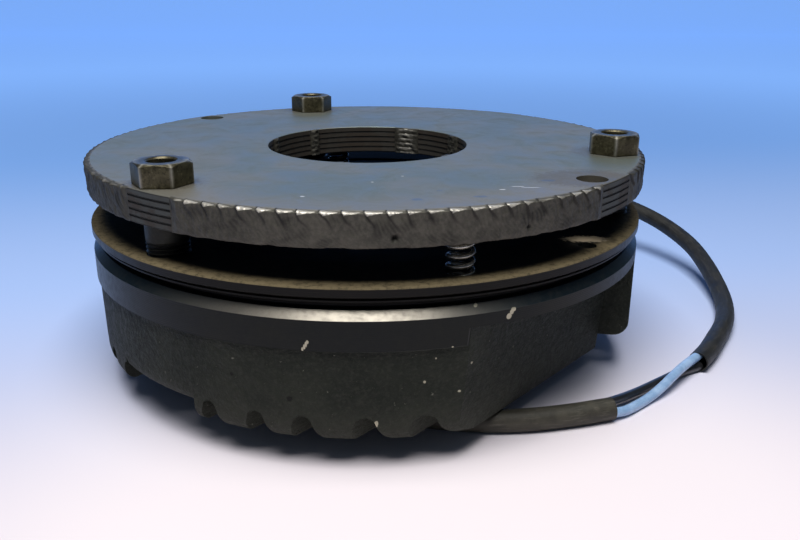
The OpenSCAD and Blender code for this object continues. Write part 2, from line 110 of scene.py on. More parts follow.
def make_piece(name, points, faces, body, material, replaced=(), values=None, sharp=None):
    """A mesh object from points in millimetres and lists of faces; values are named point attributes."""
    mesh = bpy.data.meshes.new(name)
    mesh.from_pydata((np.asarray(points) * MM).tolist(), [], [list(f) for f in faces])
    mesh.validate()
    for key, numbers in (values or {}).items():
        mesh.attributes.new(key, "FLOAT", "POINT").data.foreach_set("value", np.asarray(numbers, np.float32))
    mesh.shade_smooth()
    if sharp:
        mesh.set_sharp_from_angle(angle=np.radians(sharp))
    piece = bpy.data.objects.new(name, mesh)
    bpy.context.scene.collection.objects.link(piece)
    mesh.materials.append(material)
    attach(piece, body)
    if replaced:
        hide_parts(*replaced)
    return piece


def smooth_route(route, step):
    """Centripetal spline through the route's points, sampled about every step along its length."""
    p = np.array(route, float)
    p = np.vstack([2 * p[0] - p[1], p, 2 * p[-1] - p[-2]])
    t = np.concatenate([[0], np.cumsum(np.linalg.norm(np.diff(p, axis=0), axis=1) ** 0.5)])
    out = []
    for i in range(1, len(p) - 2):
        count = max(2, int(np.ceil(np.linalg.norm(p[i + 1] - p[i]) / step)))
        s = np.linspace(t[i], t[i + 1], count, endpoint=False)[:, None]
        a1 = (t[i] - s) / (t[i] - t[i - 1]) * p[i - 1] + (s - t[i - 1]) / (t[i] - t[i - 1]) * p[i]
        a2 = (t[i + 1] - s) / (t[i + 1] - t[i]) * p[i] + (s - t[i]) / (t[i + 1] - t[i]) * p[i + 1]
        last = t[i + 2] - t[i + 1]
        a3 = (t[i + 2] - s) / last * p[i + 1] + (s - t[i + 1]) / last * p[i + 2]
        b1 = (t[i + 1] - s) / (t[i + 1] - t[i - 1]) * a1 + (s - t[i - 1]) / (t[i + 1] - t[i - 1]) * a2
        b2 = (t[i + 2] - s) / (t[i + 2] - t[i]) * a2 + (s - t[i]) / (t[i + 2] - t[i]) * a3
        out.append((t[i + 1] - s) / (t[i + 1] - t[i]) * b1 + (s - t[i]) / (t[i + 1] - t[i]) * b2)
    out.append(p[-2][None])
    return np.vstack(out)


def cord_mesh(route, diameter, wall=0.0, sides=20, step=1.0, open_start=False, open_end=False):
    """Circles of the given diameter square to the smoothed route. An open end shows its wall and a bore 9 mm
    deep."""
    line = smooth_route(route, step)
    tangent = np.gradient(line, axis=0)
    tangent /= np.linalg.norm(tangent, axis=1)[:, None]
    side = np.cross(tangent, [0.0, 0.0, 1.0])
    side /= np.linalg.norm(side, axis=1)[:, None]
    up = np.cross(side, tangent)
    radius = np.full(len(line), diameter / 2)
    index = np.arange(len(line))
    bore_rows = int(round(9 / step))
    if open_end:
        back = index[-2:-bore_rows:-1]
        index = np.concatenate([index, [index[-1]], back])
        radius = np.concatenate([radius, np.full(len(back) + 1, diameter / 2 - wall)])
    if open_start:
        front = np.arange(bore_rows, 0, -1)
        index = np.concatenate([front, [0], index])
        radius = np.concatenate([np.full(len(front) + 1, diameter / 2 - wall), radius])
    turn = np.linspace(0, 2 * np.pi, sides, endpoint=False)
    ring = np.cos(turn)[None, :, None] * side[index][:, None]
    ring = ring + np.sin(turn)[None, :, None] * up[index][:, None]
    points = line[index][:, None] + radius[:, None, None] * ring
    rows = len(index)
    faces = grid_faces(rows, sides, close_columns=True)[:, ::-1].tolist()
    faces.append(list(range(sides)))
    faces.append(list(range(rows * sides - 1, (rows - 1) * sides - 1, -1)))
    length = np.concatenate([[0], np.cumsum(np.linalg.norm(np.diff(line, axis=0), axis=1))])
    along = np.repeat(length[index], sides)
    around = np.tile(turn / (2 * np.pi), rows)
    return points.reshape(-1, 3), faces, {"along": along * MM, "around": around}, line, length[-1]


# Materials: every colour is an sRGB hex value. A noise's Scale is the number of its patches in a metre, so
# that 1000 gives patches of 1 mm, and the ranges of radius and height are in metres.
MATH = "ShaderNodeMath"
VECTOR = "ShaderNodeVectorMath"
RANGE = "ShaderNodeMapRange"
MIX = "ShaderNodeMix"
NOISE = "ShaderNodeTexNoise"
BUMP = "ShaderNodeBump"
SPLIT = "ShaderNodeSeparateXYZ"
JOIN = "ShaderNodeCombineXYZ"


def linear(code):
    """The linear colour of an sRGB hex value such as 7f8287."""
    values = np.array([int(code[i:i + 2], 16) for i in (0, 2, 4)]) / 255
    values = np.where(values <= 0.04045, values / 12.92, ((values + 0.055) / 1.055) ** 2.4)
    return (*values, 1.0)


def add(tree, kind, sockets, out=0, **settings):
    """Adds one node and gives its output: settings are its properties, sockets its inputs, each a value or an
    output to link. A range runs smoothly between its ends."""
    made = tree.nodes.new(kind)
    if kind == RANGE:
        made.interpolation_type = "SMOOTHSTEP"
    for key, value in settings.items():
        setattr(made, key, value)
    for key, value in sockets.items():
        if isinstance(value, bpy.types.NodeSocket):
            tree.links.new(value, made.inputs[key])
        else:
            made.inputs[key].default_value = value
    return made.outputs[out]


def blank(name, **sockets):
    """A new material with its tree, its shader with the given sockets set and its Object coordinates."""
    material = bpy.data.materials.new(name)
    material.use_nodes = True
    tree = material.node_tree
    shader = tree.nodes["Principled BSDF"]
    for key, value in sockets.items():
        shader.inputs[key.replace("_", " ")].default_value = value
    return material, tree, shader, add(tree, "ShaderNodeTexCoord", {}, "Object")


def layered(tree, base, *layers):
    """Colours laid over a base one after the other: each layer is its mask, its strength and its colour."""
    colour = base
    for mask, strength, over in layers:
        share = add(tree, MATH, {0: mask, 1: strength}, operation="MULTIPLY")
        colour = add(tree, MIX, {0: share, 6: colour, 7: over}, 2, data_type="RGBA")
    return colour


def pole_distance(tree, place):
    """Distance from the pole axis, the Y coordinate and the height, all in metres."""
    y = add(tree, SPLIT, {0: place}, "Y")
    flat = add(tree, JOIN, {0: add(tree, SPLIT, {0: place}, "X"), 1: y})
    return add(tree, VECTOR, {0: flat}, "Value", operation="LENGTH"), y, add(tree, SPLIT, {0: place}, "Z")


def small_marks(tree, place, spots):
    """Mask of small marks: each is a centre and a half size along X, Y and Z, all in millimetres. The noise
    frays their edges."""
    fray = add(tree, NOISE, {"Vector": place, "Scale": 1100, "Detail": 2})
    total = None
    for centre, half in spots:
        moved = add(tree, VECTOR, {0: place, 1: tuple(c * MM for c in centre)}, operation="SUBTRACT")
        scaled = add(tree, VECTOR, {0: moved, 1: tuple(1 / (h * MM) for h in half)}, operation="MULTIPLY")
        distance = add(tree, VECTOR, {0: scaled}, "Value", operation="LENGTH")
        frayed = add(tree, MATH, {0: distance, 1: fray}, operation="ADD")
        one = add(tree, RANGE, {0: frayed, 1: 1.65, 2: 1.3})
        total = one if total is None else add(tree, MATH, {0: total, 1: one}, operation="MAXIMUM")
    return total


def ground_plate_steel():
    """Ground sheet steel with a thin film of oil: an even dull sheen, blue-grey, with brown stains near the
    screws. The sheets' bare edges are darker, with a dark line where two sheets meet."""
    material, tree, shader, place = blank("ground_plate_steel", Metallic=0.55)
    radius, y, height = pole_distance(tree, place)
    cloud = add(tree, NOISE, {"Vector": place, "Scale": 38, "Detail": 4, "Roughness": 0.6, "Distortion": 0.4})
    patch = add(tree, NOISE,
                {"Vector": place, "Scale": 105, "Detail": 5, "Roughness": 0.65, "Distortion": 0.8})
    grain = add(tree, NOISE, {"Vector": place, "Scale": 1400, "Detail": 3, "Roughness": 0.7})
    drawn_out = add(tree, "ShaderNodeMapping",
                    {"Vector": place, "Rotation": (0, 0, 0.35), "Scale": (1, 9, 1)})
    fine = add(tree, NOISE, {"Vector": drawn_out, "Scale": 310, "Detail": 6, "Roughness": 0.75})
    clouded = add(tree, RANGE, {0: cloud, 1: 0.38, 2: 0.64})
    patched = add(tree, RANGE, {0: patch, 1: 0.5, 2: 0.72})
    hairlines = add(tree, RANGE, {0: fine, 1: 0.66, 2: 0.71})
    # oil and rust stains round the screws and the release holes
    stains = small_marks(tree, place, [
        ((-45.7, -49, Z_TOP), (9, 7, 3)), ((65.3, -15, Z_TOP), (11, 9, 3)),
        ((50, -46, Z_TOP), (12, 9, 3)), ((-19.6, 64, Z_TOP), (10, 7, 3))])
    # blue ink spots
    ink = small_marks(tree, place, [
        ((10.2, -65.2, Z_TOP), (1.2, 0.9, 1)), ((23.6, -63, Z_TOP), (1.5, 0.8, 1)),
        ((40.9, -48.3, Z_TOP), (1.6, 0.9, 1)), ((15.4, -57.4, Z_TOP), (0.8, 0.5, 1))])
    # bright nicks and scratches near the front edge
    cuts = small_marks(tree, place, [
        ((33, -54, Z_TOP), (1.6, 0.22, 1)), ((35.7, -55.1, Z_TOP), (2.0, 0.2, 1)),
        ((29.2, -56.8, Z_TOP), (0.7, 0.3, 1)), ((-13.8, -62, Z_TOP), (0.5, 0.35, 1)),
        ((1, -49, Z_TOP), (0.3, 0.3, 1)), ((8, -43, Z_TOP), (0.35, 0.25, 1))])
    handled = add(tree, RANGE, {0: radius, 1: 0.058, 2: 0.073})
    in_front = add(tree, RANGE, {0: y, 1: -0.02, 2: -0.06})
    handled = add(tree, MATH, {0: handled, 1: in_front}, operation="MULTIPLY")
    top = layered(tree, linear("6d7570"), (clouded, 0.8, linear("7c7a6f")), (patched, 0.45, linear("5e6663")),
                  (handled, 0.5, linear("8a8176")), (stains, 0.5, linear("5d5447")),
                  (hairlines, 0.25, linear("918f8a")),
                  (ink, 0.5, linear("47607f")), (cuts, 0.85, linear("dddbd6")))
    outside = add(tree, RANGE, {0: radius, 1: 0.0742, 2: 0.0744})
    inside = add(tree, RANGE, {0: radius, 1: 0.0279, 2: 0.0277})
    edges = add(tree, MATH, {0: outside, 1: inside}, operation="MAXIMUM")
    rusty = add(tree, RANGE, {0: patch, 1: 0.46, 2: 0.62})
    bare = layered(tree, linear("4b4d4a"), (rusty, 0.7, linear("433a33")), (inside, 0.5, linear("4a4036")))
    level = add(tree, MATH, {0: height, 1: Z_PLATE * MM}, operation="SUBTRACT")
    level = add(tree, MATH, {0: level, 1: SHEET * MM}, operation="DIVIDE")
    from_joint = add(tree, MATH, {0: level, 1: 0.5}, operation="PINGPONG")
    joints = add(tree, RANGE, {0: from_joint, 1: 0.24, 2: 0.13})
    bare = layered(tree, bare, (joints, 0.95, linear("0b0b0b")))
    low_side = add(tree, RANGE, {0: height, 1: 0.05895, 2: 0.0588})
    sides = add(tree, MATH, {0: edges, 1: low_side}, operation="MULTIPLY")
    tree.links.new(layered(tree, top, (sides, 1.0, bare)), shader.inputs["Base Color"])
    rough = add(tree, RANGE, {0: patch, 1: 0.3, 2: 0.75, 3: 0.42, 4: 0.58})
    rough = add(tree, MATH, {0: sides, 1: 0.25, 2: rough}, operation="MULTIPLY_ADD")
    tree.links.new(rough, shader.inputs["Roughness"])
    normal = add(tree, BUMP, {"Height": grain, "Distance": 0.02 * MM})
    normal = add(tree, BUMP, {"Height": fine, "Distance": 0.012 * MM, "Normal": normal})
    tree.links.new(normal, shader.inputs["Normal"])
    return material


def weld_bead_steel():
    """Arc-welded mild steel, brown-grey with oxide. The ripples' upper crests carry a painted highlight, and
    painted shade darkens the crevices, the pits and the beads away from the front. The top of the bead is
    ground flush with the plate."""
    material, tree, shader, place = blank("weld_bead_steel", Metallic=0.45)
    crest = add(tree, "ShaderNodeAttribute", {}, "Fac", attribute_name="crest")
    # painted shade mixed with grime: crevices, ripple troughs, pits and the beads away from the front
    grime_and_shade = add(tree, "ShaderNodeAttribute", {}, "Fac", attribute_name="grime_and_shade")
    flush = add(tree, "ShaderNodeAttribute", {}, "Fac", attribute_name="flush")
    cloud = add(tree, NOISE,
                {"Vector": place, "Scale": 150, "Detail": 5, "Roughness": 0.7, "Distortion": 0.5})
    speck = add(tree, NOISE, {"Vector": place, "Scale": 900, "Detail": 4, "Roughness": 0.7})
    clouded = add(tree, RANGE, {0: cloud, 1: 0.36, 2: 0.66})
    specked = add(tree, RANGE, {0: speck, 1: 0.4, 2: 0.62})
    uneven = add(tree, RANGE, {0: cloud, 1: 0.2, 2: 0.8, 3: -0.15, 4: 0.15})
    # painted highlight on the ripples' crests
    brightened = add(tree, MATH, {0: crest, 1: uneven}, operation="ADD")
    brightened = add(tree, RANGE, {0: brightened, 1: 0.3, 2: 0.9})
    colour = layered(tree, linear("403e37"), (clouded, 0.8, linear("524f46")),
                     (specked, 0.3, linear("69665c")), (flush, 1.0, linear("7b7975")),
                     (grime_and_shade, 0.9, linear("171612")), (brightened, 0.9, linear("b9b4aa")))
    tree.links.new(colour, shader.inputs["Base Color"])
    tree.links.new(add(tree, RANGE, {0: brightened, 3: 0.6, 4: 0.42}), shader.inputs["Roughness"])
    tree.links.new(add(tree, BUMP, {"Height": speck, "Distance": 0.08 * MM}), shader.inputs["Normal"])
    return material


def bolt_steel():
    """Olive passivated zinc on turned hexagons, speckled, worn through to bright steel along the edges.
    Painted shade darkens the sleeves under the plate and the thread's roots."""
    material, tree, shader, place = blank("olive_zinc_bolt", Metallic=0.75)
    # painted shade in the thread's roots
    root = add(tree, "ShaderNodeAttribute", {}, "Fac", attribute_name="root")
    worn = add(tree, "ShaderNodeAttribute", {}, "Fac", attribute_name="worn")
    height = add(tree, SPLIT, {0: place}, "Z")
    cloud = add(tree, NOISE, {"Vector": place, "Scale": 380, "Detail": 4, "Roughness": 0.65})
    speck = add(tree, NOISE, {"Vector": place, "Scale": 1300, "Detail": 3, "Roughness": 0.7})
    clouded = add(tree, RANGE, {0: cloud, 1: 0.36, 2: 0.66})
    dirty = add(tree, RANGE, {0: speck, 1: 0.53, 2: 0.66})
    bright = add(tree, RANGE, {0: speck, 1: 0.42, 2: 0.3})
    # painted shade on the sleeves under the plate
    below = add(tree, RANGE, {0: height, 1: 0.0515, 2: 0.051})
    patchy = add(tree, RANGE, {0: cloud, 1: 0.3, 2: 0.6, 3: 0.45, 4: 1.0})
    brightened = add(tree, MATH, {0: worn, 1: patchy}, operation="MULTIPLY")
    colour = layered(tree, linear("45402f"), (clouded, 0.8, linear("5f5944")),
                     (bright, 0.5, linear("827b62")), (dirty, 0.6, linear("1d1a13")),
                     (below, 0.9, linear("1f2120")), (brightened, 0.8, linear("b9b5aa")),
                     (root, 0.95, linear("0a0a09")))
    tree.links.new(colour, shader.inputs["Base Color"])
    tree.links.new(add(tree, RANGE, {0: cloud, 1: 0.3, 2: 0.7, 3: 0.34, 4: 0.52}), shader.inputs["Roughness"])
    tree.links.new(add(tree, BUMP, {"Height": speck, "Distance": 0.03 * MM}), shader.inputs["Normal"])
    return material


def cast_housing_iron():
    """Grey iron. The sand-cast body is under thin black paint, pitted and dusty. The turned band and grooves
    are smooth and oily, the shoulder carries a painted reflection, light in front, and the pole face has
    painted light along its rim and painted shade inside, where the plate shades it."""
    material, tree, shader, place = blank("cast_housing_iron", Specular_IOR_Level=0.16)
    radius, y, height = pole_distance(tree, place)
    upward = add(tree, SPLIT, {0: add(tree, "ShaderNodeNewGeometry", {}, "Normal")}, "Z")
    cloud = add(tree, NOISE, {"Vector": place, "Scale": 70, "Detail": 4, "Roughness": 0.6})
    speck = add(tree, NOISE, {"Vector": place, "Scale": 620, "Detail": 5, "Roughness": 0.72})
    sand = add(tree, NOISE, {"Vector": place, "Scale": 1100, "Detail": 4, "Roughness": 0.62})
    coarse = add(tree, NOISE, {"Vector": place, "Scale": 340, "Detail": 4, "Roughness": 0.6})
    clouded = add(tree, RANGE, {0: cloud, 1: 0.35, 2: 0.68})
    grains = add(tree, RANGE, {0: sand, 1: 0.48, 2: 0.66})
    specked = add(tree, RANGE, {0: speck, 1: 0.4, 2: 0.7})
    # sand-cast body, lighter towards the fins
    low = add(tree, RANGE, {0: height, 1: 0.018, 2: 0.008})
    dusty = add(tree, RANGE, {0: speck, 1: 0.655, 2: 0.7})
    cast = layered(tree, linear("1c201b"), (clouded, 0.7, linear("2a2d26")), (grains, 0.3, linear("3c3d36")),
                   (low, 0.35, linear("43433c")), (dusty, 0.6, linear("8b897f")))
    # band turned smooth, under thin paint
    band = layered(tree, linear("0e1213"), (clouded, 0.6, linear("151713")), (specked, 0.2, linear("23241f")))
    # grooves, rib and the disc's side are turned and oily
    oily = layered(tree, linear("080909"), (specked, 0.6, linear("12110d")))
    disc_side = layered(tree, linear("080705"), (specked, 0.5, linear("12100b")))
    # shoulder: painted reflection, light in front and blue-grey at the sides
    to_front = add(tree, VECTOR, {0: place, 1: (-0.008, -0.075, 0.037)}, "Value", operation="DISTANCE")
    front = add(tree, RANGE, {0: to_front, 1: 0.052, 2: 0.012})
    shoulder = layered(tree, linear("1b2a33"), (clouded, 0.6, linear("283135")),
                       (front, 0.95, linear("7a756c")), (specked, 0.3, linear("4d4a45")))
    # pole face: painted shade (black) inside, painted light on a beige rim, stronger in front, and a painted
    # spot of light beside the release hole
    rim = add(tree, RANGE, {0: radius, 1: 0.0695, 2: 0.0722})
    lit_toward_front = add(tree, RANGE, {0: y, 1: 0.0, 2: -0.065, 3: 0.45, 4: 1.0})
    rim = add(tree, MATH, {0: rim, 1: lit_toward_front}, operation="MULTIPLY")
    mottled = add(tree, RANGE, {0: speck, 1: 0.3, 2: 0.6, 3: 0.35, 4: 1.0})
    rim = add(tree, MATH, {0: rim, 1: mottled}, operation="MULTIPLY")
    # painted light: the spot where light falls through the release hole in the plate
    patch = small_marks(tree, place, [((52.4, -41.6, 43), (5.5, 2.6, 1))])
    face = layered(tree, linear("090908"), (rim, 1.0, linear("74684f")), (patch, 0.95, linear("9a8d77")),
                   (specked, 0.15, linear("3f382e")))
    bore = layered(tree, linear("2a2927"), (specked, 0.5, linear("3b3936")))
    # where each surface begins, by its radius and its height
    outer = add(tree, RANGE, {0: radius, 1: 0.0745, 2: 0.07478})
    band_height = add(tree, RANGE, {0: height, 1: 0.0288, 2: 0.02895})
    is_band = add(tree, MATH, {0: band_height, 1: outer}, operation="MULTIPLY")
    near_rim = add(tree, RANGE, {0: radius, 1: 0.0708, 2: 0.071})
    above = add(tree, RANGE, {0: height, 1: 0.03572, 2: 0.03586})
    above_groove = add(tree, RANGE, {0: height, 1: 0.0377, 2: 0.03785})
    is_turned = add(tree, MATH, {0: above, 1: near_rim}, operation="MULTIPLY")
    shoulder_r = add(tree, RANGE, {0: radius, 1: 0.0728, 2: 0.0731})
    below_groove = add(tree, RANGE, {0: height, 1: 0.0377, 2: 0.03762})
    is_shoulder = add(tree, MATH, {0: is_turned, 1: shoulder_r}, operation="MULTIPLY")
    is_shoulder = add(tree, MATH, {0: is_shoulder, 1: below_groove}, operation="MULTIPLY")
    rib = add(tree, MATH, {0: above_groove, 1: near_rim}, operation="MULTIPLY")
    facing_up = add(tree, RANGE, {0: upward, 1: 0.3, 2: 0.8})
    face_height = add(tree, RANGE, {0: height, 1: 0.0425, 2: 0.04285})
    is_face = add(tree, MATH, {0: face_height, 1: facing_up}, operation="MULTIPLY")
    is_bore = add(tree, RANGE, {0: radius, 1: 0.0245, 2: 0.0238})
    # paint chips and dust specks: white on the rib's foot, yellowish over the band, small on the cast wall
    chips = small_marks(tree, place, [
        ((22.4, -70.4, 37.3), (0.4, 2, 0.35)), ((30.8, -68.4, 35.6), (0.55, 2, 0.45)),
        ((30.4, -68.4, 35), (0.5, 2, 0.6)), ((29.9, -68.9, 34.2), (0.6, 2, 0.75)),
        ((11.6, -73.3, 21.2), (0.35, 2, 0.4)), ((19.3, -71.6, 18), (0.4, 2, 0.3)),
        ((-12.9, -73, 31), (0.32, 2, 0.55)), ((-13.2, -73, 30.4), (0.28, 2, 0.6)),
        ((-13.6, -73, 29.8), (0.26, 2, 0.6)), ((-14, -73, 29.3), (0.24, 2, 0.5)),
        ((1.3, -74.2, 11.6), (0.45, 2, 0.8)), ((17.5, -72.2, 29), (0.25, 2, 0.25)),
        ((22, -70.9, 24), (0.25, 2, 0.3)), ((14, -72.9, 26.5), (0.2, 2, 0.22)),
        ((25, -69.9, 21.5), (0.2, 2, 0.2))])
    # two blowholes in the casting: painted shade, as dark spots without a hollow
    pits = small_marks(tree, place, [((-17.3, -72.1, 17), (0.7, 2, 0.6)), ((-30, -67.7, 21), (0.4, 2, 0.4))])
    colour = layered(tree, cast, (is_band, 1.0, band), (is_turned, 1.0, oily), (rib, 1.0, disc_side),
                     (is_shoulder, 1.0, shoulder), (is_face, 1.0, face), (is_bore, 1.0, bore),
                     (chips, 0.9, linear("b8b19c")), (pits, 0.9, linear("0a0a0a")))
    tree.links.new(colour, shader.inputs["Base Color"])
    bright = add(tree, MATH, {0: is_shoulder, 1: 0.75}, operation="MULTIPLY")
    tree.links.new(bright, shader.inputs["Metallic"])
    smooth_part = add(tree, MATH, {0: is_band, 1: is_turned}, operation="MAXIMUM")
    rough = add(tree, RANGE, {0: speck, 1: 0.35, 2: 0.7, 3: 0.55, 4: 0.75})
    shiny = add(tree, RANGE, {0: speck, 1: 0.35, 2: 0.7, 3: 0.3, 4: 0.42})
    rough = add(tree, MIX, {0: smooth_part, 2: rough, 3: shiny}, data_type="FLOAT")
    rough = add(tree, MIX, {0: is_face, 2: rough, 3: 1.0}, data_type="FLOAT")
    tree.links.new(rough, shader.inputs["Roughness"])
    machined = add(tree, MATH, {0: smooth_part, 1: is_face}, operation="MAXIMUM")
    machined = add(tree, MATH, {0: machined, 1: is_bore}, operation="MAXIMUM")
    as_cast = add(tree, MATH, {0: 1.0, 1: machined}, operation="SUBTRACT", use_clamp=True)
    relief = add(tree, MATH, {0: sand, 1: 0.6, 2: coarse}, operation="MULTIPLY_ADD")
    relief = add(tree, MATH, {0: relief, 1: as_cast}, operation="MULTIPLY")
    normal = add(tree, BUMP, {"Height": relief, "Distance": 0.85 * MM})
    # turning marks, drawn 0.45 mm apart so that they show at all
    run = add(tree, MATH, {0: radius, 1: height}, operation="ADD")
    run = add(tree, MATH, {0: run, 1: 2 * np.pi / (0.45 * MM)}, operation="MULTIPLY")
    turning = add(tree, MATH, {0: run}, operation="SINE")
    turned = add(tree, MATH, {0: turning, 1: machined}, operation="MULTIPLY")
    normal = add(tree, BUMP, {"Height": turned, "Distance": 0.006 * MM, "Normal": normal})
    tree.links.new(normal, shader.inputs["Normal"])
    return material


def spring_wire():
    """Drawn patented steel wire, oiled: dark, with sharp highlights along the coils."""
    material, tree, shader, place = blank("drawn_spring_wire", Metallic=0.9, Roughness=0.27)
    cloud = add(tree, NOISE, {"Vector": place, "Scale": 670, "Detail": 3})
    clouded = add(tree, RANGE, {0: cloud, 1: 0.35, 2: 0.65})
    # the inner springs, in the gap under the plate, are near black
    radius = pole_distance(tree, place)[0]
    inner = add(tree, RANGE, {0: radius, 1: 0.05, 2: 0.045})
    colour = layered(tree, linear("76746d"), (clouded, 1.0, linear("a3a198")), (inner, 1.0, linear("1a1917")))
    tree.links.new(colour, shader.inputs["Base Color"])
    scratched = add(tree, NOISE, {"Vector": place, "Scale": 3300, "Detail": 2})
    tree.links.new(add(tree, BUMP, {"Height": scratched, "Distance": 0.01 * MM}), shader.inputs["Normal"])
    return material


def moulded(name, dark, light, size, rough, depth, **sockets):
    """A plain moulded or cast surface: two close tones in patches of the given size, and a light relief."""
    material, tree, shader, place = blank(name, **sockets)
    cloud = add(tree, NOISE, {"Vector": place, "Scale": 1000 / size, "Detail": 4, "Roughness": 0.6})
    clouded = add(tree, RANGE, {0: cloud, 1: 0.35, 2: 0.65})
    tree.links.new(layered(tree, linear(dark), (clouded, 1.0, linear(light))), shader.inputs["Base Color"])
    patchy = add(tree, RANGE, {0: cloud, 1: 0.3, 2: 0.7, 3: rough - 0.06, 4: rough + 0.08})
    tree.links.new(patchy, shader.inputs["Roughness"])
    grain = add(tree, NOISE, {"Vector": place, "Scale": 6000 / size, "Detail": 3})
    tree.links.new(add(tree, BUMP, {"Height": grain, "Distance": depth * MM}), shader.inputs["Normal"])
    return material


def sleeving_pvc(name, dark, light, worn):
    """Extruded soft PVC sleeving: matt, with faint lines along its length and dusty patches."""
    material, tree, shader, place = blank(name, Specular_IOR_Level=0.35)
    along = add(tree, "ShaderNodeAttribute", {}, "Fac", attribute_name="along")
    around = add(tree, "ShaderNodeAttribute", {}, "Fac", attribute_name="around")
    angle = add(tree, MATH, {0: around, 1: 2 * np.pi}, operation="MULTIPLY")
    across = add(tree, MATH, {0: angle}, operation="COSINE")
    upward = add(tree, MATH, {0: angle}, operation="SINE")
    drawn_out = add(tree, MATH, {0: along, 1: 57.0}, operation="MULTIPLY")
    skin = add(tree, JOIN, {0: across, 1: upward, 2: drawn_out})
    line = add(tree, NOISE, {"Vector": skin, "Scale": 4.0, "Detail": 3, "Roughness": 0.6})
    dust = add(tree, NOISE, {"Vector": place, "Scale": 200, "Detail": 4, "Roughness": 0.65})
    dusty = add(tree, RANGE, {0: dust, 1: 0.35, 2: 0.68})
    lines = add(tree, RANGE, {0: line, 1: 0.5, 2: 0.7})
    colour = layered(tree, linear(dark), (dusty, 1.0, linear(light)), (lines, 0.4, linear(worn)))
    tree.links.new(colour, shader.inputs["Base Color"])
    tree.links.new(add(tree, RANGE, {0: dust, 1: 0.3, 2: 0.7, 3: 0.5, 4: 0.66}), shader.inputs["Roughness"])
    tree.links.new(add(tree, BUMP, {"Height": line, "Distance": 0.05 * MM}), shader.inputs["Normal"])
    return material


def conductor_pvc(name, dark, light):
    """Extruded hard PVC insulation: smooth, slightly glossy, with tiny handling marks."""
    material, tree, shader, place = blank(name, Roughness=0.32, Coat_Weight=0.2, Coat_Roughness=0.25)
    mark = add(tree, NOISE, {"Vector": place, "Scale": 330, "Detail": 4, "Roughness": 0.6})
    marked = add(tree, RANGE, {0: mark, 1: 0.35, 2: 0.7})
    tree.links.new(layered(tree, linear(dark), (marked, 1.0, linear(light))), shader.inputs["Base Color"])
    dent = add(tree, NOISE, {"Vector": place, "Scale": 1250, "Detail": 2})
    tree.links.new(add(tree, BUMP, {"Height": dent, "Distance": 0.015 * MM}), shader.inputs["Normal"])
    return material


PLATE = ground_plate_steel()
WELD = weld_bead_steel()
BOLT = bolt_steel()
IRON = cast_housing_iron()
SPRING = spring_wire()
# Cast epoxy over the winding: dark brown, half matt, with shallow sink marks
RESIN = moulded("cast_resin", "0b0a09", "15130f", 6, 0.85, 0.05, Specular_IOR_Level=0.1)
# Injection-moulded glass-filled nylon: off-white and faintly speckled
FORMER = moulded("nylon_former", "a9a28f", "c3bdac", 5, 0.5, 0.02)
# Enamelled copper wire: a warm red-brown metal under clear varnish
COPPER = moulded("enamelled_copper", "8a4422", "b5643a", 1.2, 0.32, 0.05, Metallic=0.9)
# Moulded rubber: deep black-grey and matt
RUBBER = moulded("moulded_rubber", "161616", "262524", 4, 0.68, 0.04)
# Tinned copper, pressed: pale soft metal
FERRULE = moulded("tinned_copper_ferrule", "8f8f8b", "b8b8b3", 1.5, 0.3, 0.01, Metallic=0.95)
LONG_PVC = sleeving_pvc("black_pvc_sleeving", "1a1a1a", "2a2926", "45433e")
SHORT_PVC = sleeving_pvc("dusty_pvc_sleeving", "33312a", "454239", "68645a")
BLUE_PVC = conductor_pvc("light_blue_pvc", "86a6cc", "a3c0e2")
BLACK_PVC = conductor_pvc("black_pvc", "141415", "232325")


# Camera, fitted to the plate's ellipses and the flange's edges in the photograph
camera_data = bpy.data.cameras.new("camera")
camera_data.lens = 37.44
camera_data.sensor_width = 36.0
camera_data.sensor_fit = "HORIZONTAL"
camera_data.clip_start = 0.01
camera_data.clip_end = 20
camera = bpy.data.objects.new("camera", camera_data)
bpy.context.scene.collection.objects.link(camera)
right = Vector((0.99926, -0.03820, 0.00379))
up = Vector((0.00985, 0.32500, 0.94566))
back = right.cross(up).normalized()
up = back.cross(right)
camera.matrix_world = Matrix.LocRotScale(
    Vector((0, -0.2326, 0.10119)), Matrix((right, up, back)).transposed().to_quaternion(), None)
bpy.context.scene.camera = camera


def lead_piece(name, route, diameter, material, slot, node, **shape):
    """One length of sleeving or one core, as a tube that replaces its CAD node."""
    points, faces, values, line, length = cord_mesh(route, diameter, **shape)
    piece = make_piece(name, points, faces, "magnet", material, (node,), values, sharp=50)
    return piece, line * MM, length * MM


long_piece, long_line, long_length = lead_piece(
    "sleeving_long", LONG_ROUTE, SLEEVING_D, LONG_PVC, "sleeving", "lead_sleeve_long", wall=SLEEVING_WALL,
    open_end=True)
blue_piece, blue_line, blue_length = lead_piece(
    "core_blue", BLUE_ROUTE, CONDUCTOR_D, BLUE_PVC, "insulation_blue", "conductor_blue", sides=16, step=0.8)
black_piece, black_line, black_length = lead_piece(
    "core_black", BLACK_ROUTE, CONDUCTOR_D, BLACK_PVC, "insulation_black", "conductor_black", sides=16,
    step=0.8)
short_piece, short_line, short_length = lead_piece(
    "sleeving_short", SHORT_ROUTE, SLEEVING_D, SHORT_PVC, "sleeving", "lead_sleeve_short",
    wall=SLEEVING_WALL, open_start=True)


# Two pits and a nub on the front bead: direction, distance below the top, size and depth
FRONT_PITS = ((274.0, 5.6, 0.62, 0.9), (296.5, 5.6, 0.45, 0.8), (290.7, 6.9, 0.45, -0.3))


